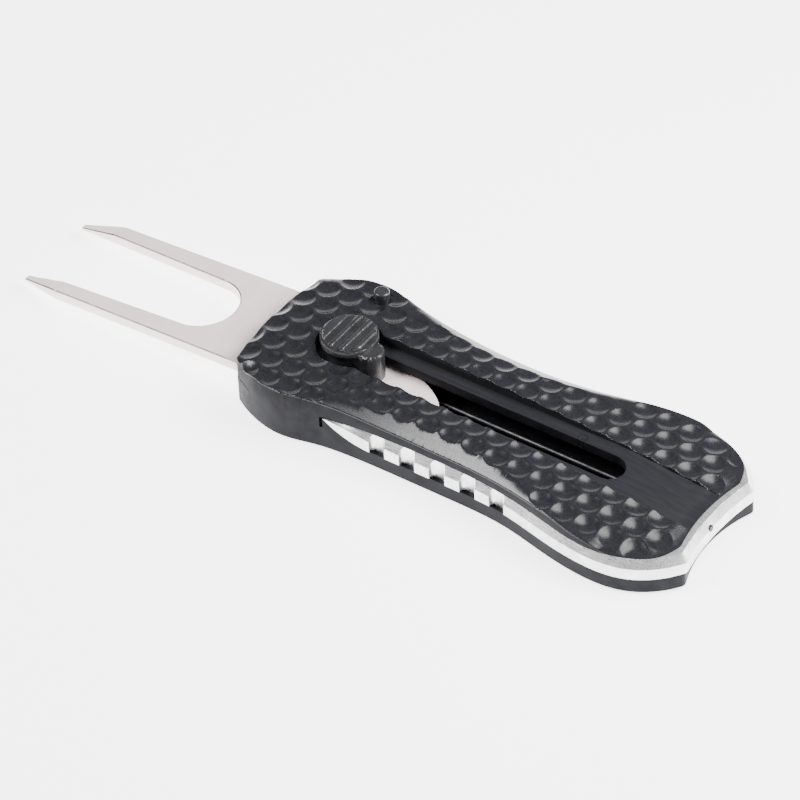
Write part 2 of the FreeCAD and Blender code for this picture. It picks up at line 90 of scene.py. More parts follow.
# ---- window: curved tip of the frame behind a narrow gap ----
GAP_X = -1.15              # the seat of the frame starts here
WINDOW_TIP_X = -0.5
WINDOW_FOOT_X = 7.2

# ---- flanks ----
FLANK_X = 16.25
FLANK_EDGE = 8.4
FLANK_R = 66.0
FLANK_SLOPE = math.radians(33.0)
FLANK_TILT = math.radians(1.43)
FLANK_SPAN = (-7.5, 37.0)
FLANK_BLEND = 0.04
FLANK_CREASE_X = (-8.0, 40.0)

# ---- dimples ----
PITCH = 3.8
ROW_STEP = PITCH * math.sqrt(3) / 2
DIMPLE_R = 1.8
DIMPLE_DEPTH = 0.46
DIMPLE_X0 = -10.05
DIMPLE_ROWS = range(-3, 7)
DIMPLE_COLUMNS = range(-2, 18)
DIMPLE_REACH = 2.4         # no bowl is felt beyond this
DIMPLE_RINGS = (0.45, 0.9, 1.25, 1.5, 1.66, 1.76, 1.86)
FLANK_OVERLAP = 0.6        # dimple centres may lie this far past the edge of the deck
LOCK_CLEAR_R = 2.0         # and must be this far from the lock pin
RIM_BLEND = 0.025

# ---- channel, slot, button, lock ----
CHANNEL_Y = (-4.0, 3.9)
CHANNEL_SINK = 0.5
CHANNEL_END_X = 58.0       # past the tail
BUTTON = (-4.45, 0.2)
BUTTON_R = 4.2
BUTTON_BASE_R = 3.5
BUTTON_BASE_Z = 7.65
BUTTON_HEAD_Z = 9.55
BUTTON_TOP_Z = 11.0
BUTTON_POCKET_R = 4.8
FOOT_Y = (-2.45, 1.35)
FOOT_X = (-6.35, 1.65)
FOOT_TOP_Z = 10.0
FOOT_EDGE_R = 0.25
GROOVE_COUNT = 4
GROOVE_X0 = -1.6           # first groove, from the middle of the button
RIB_PITCH = 1.8
RIB_W = 0.9
RIB_H = 0.5
RIB_INSET = 0.3            # the ribs end this far inside the disc
RIB_END_R = 0.3
RIB_SIDE_R = 0.32
DISC_EDGE_R = 0.2
SLOT_Y = (-2.9, 1.8)
SLOT_X = (-6.8, 41.75)
STEM = (-4.45, -0.55)
STEM_R = 1.1
DETENT = (33.25, 2.35)
DETENT_R = 0.72            # a hair wider than the pin
LOCK = (-6.25, 10.6)
LOCK_RECESS_R = 1.6
LOCK_RECESS = 0.35
LOCK_BORE_R = 1.25

# ---- fork blade ----
BLADE_Z = 3.9
BLADE_T = 1.6
DROOP = math.tan(math.radians(3.2))
BEND_X = -16.75
BLADE_HALF = 8.7
BLADE_REAR_X = 1.25
TIP_X = -57.25
TIP_Y = (6.3, 7.2)
TIP_T = 0.3
SHOULDER_X = -50.75
SHOULDER_Y = 8.4
GAP_CENTRE_X = -30.35
GAP_R = 5.4
TANG_Y = (-4.6, 2.5)
TANG_TIP = [(5.2, TANG_Y[1]), (7.4, 1.95), (9.3, 0.95), (11.1, -0.4), (12.1, -1.9),
            (12.3, -3.2), (11.8, -4.2), (10.8, TANG_Y[0])]
SHOULDER_CREASE_Y = 5.9

# ---- rim of the centre frame ----
BEVEL_W = 0.8              # the top edge slopes in by this much ...
BEVEL_DROP = 1.35          # ... and down by this much
NOTCH_START = 8.25
NOTCH_PITCH = 5.06
NOTCH_COUNT = 5
NOTCH_W = 2.6
NOTCH_DEPTH = 0.9
TAIL_PIN = (-1.0, 4.6)
TAIL_PIN_R = 0.5
TAIL_PIN_X = (54.0, 56.36)
PIN_EDGE = 0.06

# ---- mesh fineness ----
STEP = 0.35                # along outlines
GRID = 0.9                 # loose points between them
POINT_GAP = 0.02           # loose points stay this far from every line
EDGE_R = 0.16              # softness of the machined edges
BLADE_EDGE = 0.16
SHARP = math.radians(38.0)

# ---- keys of the faces of a plan solid ----
NOTHING = -1
WALL = -2                  # paint key of the outer walls
ACCENT = -3                # paint key of the picked out triangles of the upper face

# ---- camera and floor ----
CAMERA_AIM = (5.30, -1.80, 4.24)
CAMERA_REACH = 768
CAMERA_HEADING = math.radians(37.08)
CAMERA_ELEVATION = math.radians(41.64)
CAMERA_ROLL = math.radians(-3.153)
CAMERA_LENS = 247.5
FLOOR_HALF_M = 3.0
FLOOR_GAP = 0.02           # between the floor and the underside


# ------------------------------------------------------------------ plane curves

def spline(points, step=STEP):
    """Natural cubic spline through points, sampled about every step."""
    p = np.array(points, float)
    t = np.concatenate([[0], np.cumsum(np.hypot(*np.diff(p, axis=0).T))])
    gap = np.diff(t)
    count = len(p)
    left = np.eye(count)
    right = np.zeros((count, 2))
    for i in range(1, count - 1):
        left[i, i - 1:i + 2] = gap[i - 1], 2 * (gap[i - 1] + gap[i]), gap[i]
        right[i] = 6 * ((p[i + 1] - p[i]) / gap[i] - (p[i] - p[i - 1]) / gap[i - 1])
    bend = np.linalg.solve(left, right)
    s = np.linspace(0, t[-1], int(t[-1] / step) + 1)
    k = np.clip(np.searchsorted(t, s, side="right") - 1, 0, count - 2)
    u = (s - t[k])[:, None]
    w = (t[k + 1] - s)[:, None]
    g = gap[k][:, None]
    curve = (bend[k] * w ** 3 + bend[k + 1] * u ** 3) / (6 * g)
    return curve + (p[k] / g - bend[k] * g / 6) * w + (p[k + 1] / g - bend[k + 1] * g / 6) * u


def bow(x, half, middle):
    """Arc from (x, half) through (middle, 0) to (x, -half)."""
    sag = middle - x
    radius = (half ** 2 + sag ** 2) / (2 * abs(sag))
    centre = middle - math.copysign(radius, sag)
    reach = math.asin(half / radius)
    angles = np.linspace(reach, -reach, int(2 * reach * radius / STEP) + 1)
    return np.stack([centre + math.copysign(1, sag) * radius * np.cos(angles),
                     radius * np.sin(angles)], 1)


def circle(centre, radius, step=STEP):
    """Closed loop of points, without its first point again at the end."""
    count = max(12, int(2 * math.pi * radius / step))
    angles = np.arange(count) * 2 * math.pi / count
    return np.stack([centre[0] + radius * np.cos(angles), centre[1] + radius * np.sin(angles)], 1)


def line(a, b, step=STEP):
    """Straight run from a to b, both ends included."""
    a, b = np.array(a, float), np.array(b, float)
    count = max(2, int(np.hypot(*(b - a)) / step) + 1)
    return a + (b - a) * np.linspace(0, 1, count)[:, None]


def trimmed(curve, start, end):
    """The curve without its first and last stretch of the given lengths."""
    along = np.concatenate([[0], np.cumsum(np.hypot(*np.diff(curve, axis=0).T))])
    ends = np.array([start, along[-1] - end])
    tips = np.stack([np.interp(ends, along, curve[:, k]) for k in (0, 1)], 1)
    keep = (along > ends[0] + 0.05) & (along < ends[1] - 0.05)
    return np.concatenate([tips[:1], curve[keep], tips[1:]])


def closed(curves, radii):
    """One closed outline from curves that meet end to end; radii[k] rounds the end of curve k."""
    runs = [trimmed(curve, radii[k - 1], radii[k]) for k, curve in enumerate(curves)]
    parts = []
    t = np.linspace(0, 1, 6)[1:-1, None]
    for k, run in enumerate(runs):
        if radii[k] == 0:
            parts.append(run[:-1])
            continue
        a, corner, b = run[-1], curves[k][-1], runs[(k + 1) % len(runs)][0]
        parts += [run, (1 - t) ** 2 * a + 2 * t * (1 - t) * corner + t ** 2 * b]
    return np.concatenate(parts)


def shell_outline():
    """Waisted plan of the top shell with its bowed nose and notched tail."""
    upper = spline(SHELL_SIDE)
    lower = upper[::-1] * (1, -1)
    (x0, y0), (x1, y1) = SHELL_SIDE[0], SHELL_SIDE[-1]
    return closed([upper, bow(x1, y1, NOTCH_X), lower, bow(x0, y0, NOSE_X)[::-1]], [CORNER] * 4)


def offset(loop, distance):
    """Points of a closed loop moved sideways; the sign picks the side."""
    ahead = np.roll(loop, -1, axis=0) - np.roll(loop, 1, axis=0)
    normal = np.stack([-ahead[:, 1], ahead[:, 0]], 1) / np.hypot(*ahead.T)[:, None]
    return loop + normal * distance


def inside(points, loop):
    """Even-odd test of many points against a closed loop."""
    x, y = points[:, 0], points[:, 1]
    result = np.zeros(len(points), bool)
    for (xa, ya), (xb, yb) in zip(loop, np.roll(loop, -1, axis=0)):
        if ya != yb:
            crosses = (ya > y) != (yb > y)
            result ^= crosses & (x < xa + (xb - xa) * (y - ya) / (yb - ya))
    return result


def distance(points, loop, is_closed=True):
    """Shortest distance from each point to a polyline."""
    ends = np.roll(loop, -1, axis=0) if is_closed else loop[1:]
    starts = loop if is_closed else loop[:-1]
    best = np.full(len(points), 1e9)
    for a, b in zip(starts, ends):
        d = b - a
        t = np.clip(((points - a) @ d) / max(d @ d, 1e-12), 0, 1)
        best = np.minimum(best, np.hypot(*(points - a - t[:, None] * d).T))
    return best


def eased(d, radius):
    """Drop of a rounded edge at distance d from the edge."""
    reach = np.clip(radius - d, 0, radius)
    return radius - np.sqrt(radius ** 2 - reach ** 2)


# ------------------------------------------------------------------ meshes drawn in plan

def triangulate(loops, lines, points):
    """Triangles over loose points, with every loop and line kept as edges."""
    coords, edges = [], []
    for run, is_closed in [(r, True) for r in loops] + [(r, False) for r in lines]:
        first, count = len(coords), len(run)
        coords += [Vector(p) for p in run]
        edges += [(first + i, first + i + 1) for i in range(count - 1)]
        if is_closed:
            edges.append((first + count - 1, first))
    coords += [Vector(p) for p in points]
    result = delaunay_2d_cdt(coords, edges, [], 0, 1e-4)
    return np.array([v[:] for v in result[0]]), [tuple(f) for f in result[2]]


def grid_points(loop, spacing=GRID):
    """Square grid of loose points inside a loop."""
    low, high = loop.min(0), loop.max(0)
    xs = np.arange(low[0], high[0], spacing)
    ys = np.arange(low[1], high[1], spacing)
    points = np.stack(np.meshgrid(xs, ys), -1).reshape(-1, 2)
    return points[inside(points, loop)]


def clear_of(points, runs, gap):
    """The points that stay at least gap away from every run."""
    for run, is_closed in runs:
        points = points[distance(points, run, is_closed) > gap]
    return points


def plan_solid(name, loops, lines, points, kinds, top, bottom, paint=None, accent=None):
    """Closed mesh over a triangulated plan.

    kinds(centres) gives each triangle a pair (upper kind, lower kind), NOTHING where there is no
    material.  top(kind, xy) and bottom(kind, xy) give heights.  Where kinds differ, walls follow.
    accent(centres) picks triangles of the upper face that get a paint of their own.
    """
    runs = [(r, True) for r in loops] + [(r, False) for r in lines]
    plan, faces = triangulate(loops, lines, clear_of(points, runs, POINT_GAP))
    centres = np.array([plan[list(f)].mean(0) for f in faces])
    upper, lower = kinds(centres)
    solid = upper != NOTHING
    picked = accent(centres) if accent else np.zeros(len(centres), bool)
    verts, index, quads, slots = [], {}, [], []
    heights = {}
    for layer, labels, height in (("top", upper, top), ("bottom", lower, bottom)):
        for kind in set(labels[solid].tolist()):
            heights[layer, kind] = height(kind, plan)

    def corner(layer, kind, v):
        key = (layer, kind, v)
        if key not in index:
            index[key] = len(verts)
            verts.append((plan[v][0] * MM, plan[v][1] * MM, heights[layer, kind][v] * MM))
        return index[key]

    sides = {}
    for f, face in enumerate(faces):
        if not solid[f]:
            continue
        quads.append([corner("top", upper[f], v) for v in face])
        slots.append(ACCENT if picked[f] else int(upper[f]))
        quads.append([corner("bottom", lower[f], v) for v in reversed(face)])
        slots.append(int(upper[f]))
        for a, b in zip(face, face[1:] + face[:1]):
            sides[a, b] = f
    for (a, b), f in sides.items():
        other = sides.get((b, a))
        if other is None:
            quads.append([corner("top", upper[f], b), corner("top", upper[f], a),
                          corner("bottom", lower[f], a), corner("bottom", lower[f], b)])
            slots.append(WALL)
        elif a < b:
            for layer, kind in (("top", upper), ("bottom", lower)):
                if kind[f] != kind[other]:
                    ring = [corner(layer, kind[f], b), corner(layer, kind[f], a),
                            corner(layer, kind[other], a), corner(layer, kind[other], b)]
                    quads.append(ring if layer == "top" else ring[::-1])
                    slots.append(int(upper[f]))
    mesh = bpy.data.meshes.new(name)
    mesh.from_pydata(verts, [], quads)
    mesh.validate()
    if paint:
        mesh.polygons.foreach_set("material_index", [paint.get(s, 0) for s in slots])
    return finished(name, mesh)


def finished(name, mesh):
    """Object with smooth shading that breaks at sharp edges."""
    mesh.shade_smooth()
    mesh.set_sharp_from_angle(angle=SHARP)
    mesh.update()
    obj = bpy.data.objects.new(name, mesh)
    bpy.context.scene.collection.objects.link(obj)
    return obj


def place(obj, body, nodes, materials):
    """Paint a piece, hang it on its body and let it stand for its CAD nodes."""
    for material in materials:
        obj.data.materials.append(material)
    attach(obj, body)
    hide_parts(*nodes)


def coil_spring(node):
    """A copy of the CAD coil in its spring paint, hung on the housing in place of its node."""
    source = frame["nodes"][node]
    mesh = source.data.copy()
    mesh.materials.clear()
    coil = bpy.data.objects.new(node + "_coil", mesh)
    bpy.context.scene.collection.objects.link(coil)
    coil.matrix_world = source.matrix_world.copy()
    place(coil, "housing", [node], [WIRE])
    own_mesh(coil)


# ------------------------------------------------------------------ materials

def material(name, base, roughness, metallic=0.0):
    """New material and its shader."""
    made = bpy.data.materials.new(name)
    made.use_nodes = True
    shader = made.node_tree.nodes["Principled BSDF"]
    shader.inputs["Base Color"].default_value = (*base, 1)
    shader.inputs["Roughness"].default_value = roughness
    shader.inputs["Metallic"].default_value = metallic
    return made, shader


def noise(made, size, stretch=(1, 1, 1), detail=3.0):
    """Noise in object space; size is the width of a blotch in millimetres."""
    nodes, links = made.node_tree.nodes, made.node_tree.links
    position = nodes.new("ShaderNodeTexCoord")
    scale = nodes.new("ShaderNodeMapping")
    scale.inputs["Scale"].default_value = [s / (size * MM) for s in stretch]
    texture = nodes.new("ShaderNodeTexNoise")
    texture.inputs["Scale"].default_value = 1.0
    texture.inputs["Detail"].default_value = detail
    links.new(position.outputs["Object"], scale.inputs["Vector"])
    links.new(scale.outputs["Vector"], texture.inputs["Vector"])
    return texture.outputs["Fac"]


def spread(made, value, low, high, start=0.3, end=0.7):
    """Map a noise value onto the range low to high."""
    node = made.node_tree.nodes.new("ShaderNodeMapRange")
    node.inputs["From Min"].default_value = start
    node.inputs["From Max"].default_value = end
    node.inputs["To Min"].default_value = low
    node.inputs["To Max"].default_value = high
    made.node_tree.links.new(value, node.inputs["Value"])
    return node.outputs["Result"]


def tint(made, shader, value, dark, light):
    """Vary the base colour between two shades."""
    node = made.node_tree.nodes.new("ShaderNodeMix")
    node.data_type = "RGBA"
    node.inputs["A"].default_value = (*dark, 1)
    node.inputs["B"].default_value = (*light, 1)
    made.node_tree.links.new(value, node.inputs["Factor"])
    made.node_tree.links.new(node.outputs["Result"], shader.inputs["Base Color"])


def bump(made, shader, value, depth, strength):
    """Relief of the given depth in millimetres."""
    node = made.node_tree.nodes.new("ShaderNodeBump")
    node.inputs["Strength"].default_value = strength
    node.inputs["Distance"].default_value = depth * MM
    made.node_tree.links.new(value, node.inputs["Height"])
    made.node_tree.links.new(node.outputs["Normal"], shader.inputs["Normal"])


def satin_black():
    """Bead-blasted black finish of the shells: a fine grain over a soft sheen."""
    made, shader = material("satin_black", (0.013, 0.013, 0.016), 0.26)
    tint(made, shader, spread(made, noise(made, 0.5), 0, 1), (0.010, 0.010, 0.013),
         (0.017, 0.017, 0.021))
    made.node_tree.links.new(spread(made, noise(made, 0.3), 0.23, 0.30),
                             shader.inputs["Roughness"])
    bump(made, shader, noise(made, 0.16, detail=2.0), 0.0025, 0.4)
    return made


def side_black():
    """Upright sides of the shells: the same finish, duller where it was machined."""
    made, shader = material("side_black", (0.012, 0.012, 0.014), 0.42)
    shader.inputs["Specular IOR Level"].default_value = 0.06
    tint(made, shader, spread(made, noise(made, 1.8), 0, 1), (0.009, 0.009, 0.011),
         (0.018, 0.018, 0.021))
    made.node_tree.links.new(spread(made, noise(made, 0.9), 0.36, 0.48),
                             shader.inputs["Roughness"])
    bump(made, shader, noise(made, 0.25, detail=2.0), 0.01, 0.4)
    return made


def channel_black():
    """Thumb channel: smooth satin with faint lengthwise rub marks."""
    made, shader = material("channel_black", (0.016, 0.016, 0.018), 0.34)
    shader.inputs["Specular IOR Level"].default_value = 0.28
    streaks = noise(made, 0.4, stretch=(0.05, 1, 1), detail=3.0)
    tint(made, shader, spread(made, streaks, 0, 1), (0.013, 0.013, 0.016), (0.019, 0.019, 0.023))
    made.node_tree.links.new(spread(made, streaks, 0.32, 0.37), shader.inputs["Roughness"])
    bump(made, shader, noise(made, 0.3), 0.006, 0.3)
    return made


def bright_chrome():
    """Polished rim, satin on top from handling, with hairline scratches along it."""
    made, shader = material("bright_chrome", (0.90, 0.90, 0.91), 0.3, 0.85)
    hair = noise(made, 0.12, stretch=(0.06, 1, 1), detail=3.0)
    tint(made, shader, spread(made, noise(made, 1.4, detail=5.0), 0, 1), (0.66, 0.66, 0.68),
         (0.93, 0.93, 0.94))
    made.node_tree.links.new(spread(made, hair, 0.22, 0.42), shader.inputs["Roughness"])
    bump(made, shader, hair, 0.003, 0.4)
    return made


def satin_steel():
    """Fork: pale stainless sheet with a fine lengthwise satin grain."""
    made, shader = material("satin_steel", (0.97, 0.86, 0.84), 0.3, 0.15)
    hair = noise(made, 0.10, stretch=(0.05, 1, 1), detail=3.0)
    tint(made, shader, spread(made, noise(made, 5.0), 0, 1), (0.94, 0.81, 0.79),
         (1.0, 0.89, 0.87))
    made.node_tree.links.new(spread(made, hair, 0.26, 0.40), shader.inputs["Roughness"])
    bump(made, shader, hair, 0.004, 0.5)
    return made


def gloss_black():
    """Moulded button: glossy with very light finger marks."""
    made, shader = material("gloss_black", (0.024, 0.024, 0.026), 0.26)
    tint(made, shader, spread(made, noise(made, 2.5), 0, 1), (0.020, 0.020, 0.022),
         (0.032, 0.032, 0.035))
    made.node_tree.links.new(spread(made, noise(made, 1.2), 0.22, 0.34),
                             shader.inputs["Roughness"])
    bump(made, shader, noise(made, 0.5), 0.006, 0.3)
    return made


def plain_part(name, dark, light, roughness, metallic, size):
    """Small mechanical parts: speckled colour, uneven gloss and a trace of relief."""
    made, shader = material(name, light, roughness, metallic)
    tint(made, shader, spread(made, noise(made, size * 4), 0, 1), dark, light)
    made.node_tree.links.new(spread(made, noise(made, size), roughness - 0.07, roughness + 0.08),
                             shader.inputs["Roughness"])
    bump(made, shader, noise(made, size), 0.01, 0.4)
    return made


# ------------------------------------------------------------------ handle surfaces

def half_width(x):
    """Rough half width of the shell, to leave out dimples beyond it."""
    return np.interp(x, [p[0] for p in SHELL_SIDE], [p[1] for p in SHELL_SIDE])


def deck_height(x, y):
    """Crowned deck: long radius along the handle, shorter one across."""
    return DECK_Z - (x - DECK_X) ** 2 / (2 * DECK_R) - y ** 2 / (2 * CROWN_R)


def flank_height(x, y):
    """Shallow cone about an upright axis beside the waist."""
    reach = np.hypot(x - FLANK_X, np.abs(y) - FLANK_EDGE - FLANK_R)
    start = deck_height(FLANK_X, FLANK_EDGE) - (x - FLANK_X) * math.tan(FLANK_TILT)
    return start + (reach - FLANK_R) * math.tan(FLANK_SLOPE)


def flank_edge(x):
    """Distance from the middle at which the flank leaves the deck."""
    return FLANK_EDGE + (x - FLANK_X) ** 2 / (2 * FLANK_R)


def is_dimpled(x, y):
    """True where the deck carries a dimple; its edges may cut the outer ones."""
    in_channel = CHANNEL_Y[0] < y < CHANNEL_Y[1] and x > BUTTON[0]
    under_button = math.hypot(x - BUTTON[0], y - BUTTON[1]) < BUTTON_POCKET_R
    at_lock = math.hypot(x - LOCK[0], y - LOCK[1]) < LOCK_CLEAR_R
    off_deck = abs(y) > half_width(x) or not NOSE_X < x < NOTCH_X
    on_flank = FLANK_SPAN[0] < x < FLANK_SPAN[1] and abs(y) > flank_edge(x) + FLANK_OVERLAP
    return not (in_channel or under_button or at_lock or off_deck or on_flank)


def dimple_centres():
    centres = []
    for row in DIMPLE_ROWS:
        y = (row - 1.5) * ROW_STEP
        for column in DIMPLE_COLUMNS:
            x = DIMPLE_X0 + PITCH * (column + 0.5 * (row % 2))
            if is_dimpled(x, y):
                centres.append((x, y))
    return np.array(centres)


def dimple_depth(xy, centres):
    """Shallow bowls whose rims run out softly."""
    depth = np.zeros(len(xy))
    for centre in centres:
        near = np.abs(xy[:, 0] - centre[0]) < DIMPLE_REACH
        r = np.hypot(*(xy[near] - centre).T)
        bowl = DIMPLE_DEPTH * (1 - (r / DIMPLE_R) ** 2)
        depth[near] += RIM_BLEND * np.log1p(np.exp(bowl / RIM_BLEND))
    return depth


def dimple_points(centres):
    """Mesh points in rings round the middle of every dimple."""
    points = [centres]
    for radius in DIMPLE_RINGS:
        count = 8 + int(9 * radius)
        for k in range(count):
            angle = 2 * math.pi * k / count
            points.append(centres + radius * np.array([math.cos(angle), math.sin(angle)]))
    return np.concatenate(points)


def channel_floor(x):
    """Level floor that follows the deck once the deck has fallen far enough."""
    along = DECK_Z - CHANNEL_SINK - (x - DECK_X) ** 2 / (2 * (DECK_R - CHANNEL_SINK))
    return np.minimum(CHANNEL_Z, along)


def stadium(x, y):
    """Outline of a slot or block with half-round ends that fills the given ranges."""
    radius = (y[1] - y[0]) / 2
    middle = (y[0] + y[1]) / 2
    start, end = x[0] + radius, x[1] - radius
    angles = np.linspace(-math.pi / 2, math.pi / 2, 16)
    cap = np.stack([end + radius * np.cos(angles), middle + radius * np.sin(angles)], 1)
    back = np.stack([start - radius * np.cos(angles), middle - radius * np.sin(angles)], 1)
    low = line((start, y[0]), (end, y[0]))[1:-1]
    high = line((end, y[1]), (start, y[1]))[1:-1]
    return np.concatenate([low, cap, high, back])


def channel_loop():
    """Button pocket and channel in one outline, run out past the tail."""
    half = [math.asin((CHANNEL_Y[k] - BUTTON[1]) / BUTTON_POCKET_R) for k in (0, 1)]
    angles = np.linspace(half[1], 2 * math.pi + half[0], 60)
    arc = np.stack([BUTTON[0] + BUTTON_POCKET_R * np.cos(angles),
                    BUTTON[1] + BUTTON_POCKET_R * np.sin(angles)], 1)
    low = line(arc[-1], (CHANNEL_END_X, CHANNEL_Y[0]))[1:]
    high = line((CHANNEL_END_X, CHANNEL_Y[1]), arc[0])[:-1]
    return np.concatenate([arc, low, high])


def roll_off(xy, ends):
    """How far the deck has rolled down towards the nose and the tail edge."""
    near = np.clip(1 - distance(xy, ends, False) / ROLL_REACH, 0, 1)
    return ROLL * near ** 2


def lifted(height):
    """Soft lower limit that keeps the skin above the frame."""
    floor = FRAME_Z1 + SHELL_LIP
    return floor + LIP_BLEND * np.logaddexp(0, (height - floor) / LIP_BLEND)


DECK, CHANNEL, RECESS = 0, 1, 2
POCKET, NOSE_SEAT, FRAME_SEAT = 0, 1, 2


def top_shell():
    """Dimpled deck, flanks, thumb channel and slot in one skin."""
    outline = shell_outline()
    tail = outline[outline[:, 0] > TAIL_EDGE_X]
    from_tail = np.roll(outline, -np.argmax(outline[:, 0]), axis=0)
    nose = from_tail[from_tail[:, 0] < NOSE_EDGE_X]
    channel = channel_loop()
    slot = stadium(SLOT_X, SLOT_Y)
    recess = circle(LOCK, LOCK_RECESS_R, 0.25)
    bore = circle(LOCK, LOCK_BORE_R, 0.2)
    detent = circle(DETENT, DETENT_R, 0.15)
    centres = dimple_centres()
    seats = [line((NOSE_X - 1, s * POCKET_HALF), (POCKET_END_X, s * POCKET_HALF))
             for s in (-1, 1)]
    seats.append(line((POCKET_END_X, -POCKET_HALF), (POCKET_END_X, POCKET_HALF)))
    seats += [line((GAP_X, s * POCKET_HALF), (GAP_X, s * 15)) for s in (-1, 1)]
    x = np.arange(*FLANK_CREASE_X, 0.5)
    flanks = [np.stack([x, s * (flank_edge(x) + side)], 1)
              for s in (-1, 1) for side in (-0.25, -0.1, 0, 0.1, 0.25)]
    rows = [offset(outline, d) for d in (-0.05, -0.1, -0.17)]
    rows += [offset(channel, d) for d in (-0.05, -0.1, -0.17)]
    rows += [offset(slot, d) for d in (-0.05, -0.1)]
    spots = dimple_points(centres)
    loose = grid_points(outline)
    far = np.ones(len(loose), bool)
    for centre in centres:
        far &= np.hypot(*(loose - centre).T) > DIMPLE_R + 0.1
    loose = np.concatenate([loose[far], spots] + flanks + rows)
    loose = loose[inside(loose, outline)]

    def kinds(p):
        from_lock = np.hypot(*(p - LOCK).T)
        holes = inside(p, slot) | (from_lock < LOCK_BORE_R) | inside(p, detent)
        upper = np.full(len(p), DECK)
        upper[inside(p, channel)] = CHANNEL
        upper[from_lock < LOCK_RECESS_R] = RECESS
        upper[holes | ~inside(p, outline)] = NOTHING
        lower = np.where(p[:, 0] < GAP_X, NOSE_SEAT, FRAME_SEAT)
        in_pocket = (np.abs(p[:, 1]) < POCKET_HALF) & (p[:, 0] < POCKET_END_X)
        lower[in_pocket] = POCKET
        return upper, lower

    def top(kind, xy):
        x, y = xy.T
        if kind == RECESS:
            return np.full(len(xy), deck_height(*LOCK) - LOCK_RECESS)
        from_edge = distance(xy, outline)
        rim = eased(from_edge, EDGE_R)
        edge = rim + roll_off(xy, nose) + roll_off(xy, tail)
        if kind == CHANNEL:
            return lifted(channel_floor(x) - eased(distance(xy, slot), 0.1) - edge)
        whole = np.clip(0.5 + from_edge / 1.5, 0, 1)
        deck = deck_height(x, y) - dimple_depth(xy, centres) * whole
        soft = -FLANK_BLEND * np.logaddexp(-deck / FLANK_BLEND,
                                           -flank_height(x, y) / FLANK_BLEND)
        return lifted(soft - edge - eased(distance(xy, channel), EDGE_R))

    def bottom(kind, xy):
        level = {POCKET: POCKET_Z1, NOSE_SEAT: SEAM_Z, FRAME_SEAT: FRAME_Z1}[kind]
        return np.full(len(xy), level)

    loops = [outline, channel, slot, recess, bore, detent]
    return plan_solid("top_shell_skin", loops, seats, loose, kinds, top, bottom,
                      {CHANNEL: 1, WALL: 2})


# ------------------------------------------------------------------ fork

def fork_outline():
    """Once round the blade: -Y edge, rounded tang, +Y edge, and the gap between the prongs."""
    tip_in, tip_out = TIP_Y
    inner = line((TIP_X, tip_in), (GAP_CENTRE_X, GAP_R))
    turn = np.linspace(math.pi / 2, -math.pi / 2, 40)
    bottom = np.stack([GAP_CENTRE_X + GAP_R * np.cos(turn), GAP_R * np.sin(turn)], 1)
    outer = [line((TIP_X, -tip_out), (SHOULDER_X, -SHOULDER_Y)),
             line((SHOULDER_X, -SHOULDER_Y), (BEND_X, -BLADE_HALF)),
             line((BEND_X, -BLADE_HALF), (BLADE_REAR_X, -BLADE_HALF))]
    rear = [line((BLADE_REAR_X, -BLADE_HALF), (BLADE_REAR_X, TANG_Y[0])),
            line((BLADE_REAR_X, TANG_Y[0]), TANG_TIP[-1]), spline(TANG_TIP)[::-1],
            line(TANG_TIP[0], (BLADE_REAR_X, TANG_Y[1])),
            line((BLADE_REAR_X, TANG_Y[1]), (BLADE_REAR_X, BLADE_HALF))]
    back = [run[::-1] * (1, -1) for run in reversed(outer)]
    runs = outer + rear + back + [line((TIP_X, tip_out), (TIP_X, tip_in)), inner, bottom,
                                  inner[::-1] * (1, -1),
                                  line((TIP_X, -tip_in), (TIP_X, -tip_out))]
    return np.concatenate([run[:-1] for run in runs])


def fork_blade():
    """Steel fork with softened edges and chisel tips; the button pin passes through it."""
    outline = fork_outline()
    hole = circle(STEM, STEM_R, 0.3)
    lines = [line((BEND_X, -BLADE_HALF), (BEND_X, BLADE_HALF), 1.0)]
    lines += [line((SHOULDER_X, s * SHOULDER_CREASE_Y), (SHOULDER_X, s * SHOULDER_Y), 0.4)
              for s in (-1, 1)]
    rows = [offset(outline, d) for d in (-0.04, -0.09, -0.16, 0.04, 0.09, 0.16)]
    loose = np.concatenate([grid_points(outline, 0.8)] + rows)
    loose = loose[inside(loose, outline)]

    def kinds(p):
        shape = np.zeros(len(p), int)
        shape[~inside(p, outline) | (np.hypot(*(p - STEM).T) < STEM_R)] = NOTHING
        return shape, shape

    def under(x):
        return BLADE_Z - np.maximum(BEND_X - x, 0) * DROOP

    def top(kind, xy):
        x = xy[:, 0]
        wedge = np.clip((SHOULDER_X - x) / (SHOULDER_X - TIP_X), 0, 1)
        soft = eased(distance(xy, outline), BLADE_EDGE) * (1 - 0.8 * wedge)
        return under(x) + BLADE_T - (BLADE_T - TIP_T) * wedge - soft

    def bottom(kind, xy):
        return under(xy[:, 0])

    # painted shade: the triangles on the rounded edge band get a dark steel, a painted dark line
    # along the blade's edges
    def on_edge(p):
        return distance(p, outline) < BLADE_EDGE

    return plan_solid("fork_sheet", [outline, hole], lines, loose, kinds, top, bottom,
                      {ACCENT: 1}, on_edge)


# ------------------------------------------------------------------ button

FOOT, BASE, HEAD, RIB = 0, 1, 2, 3
FOOT_DOWN, BASE_DOWN, HEAD_DOWN = 0, 1, 2


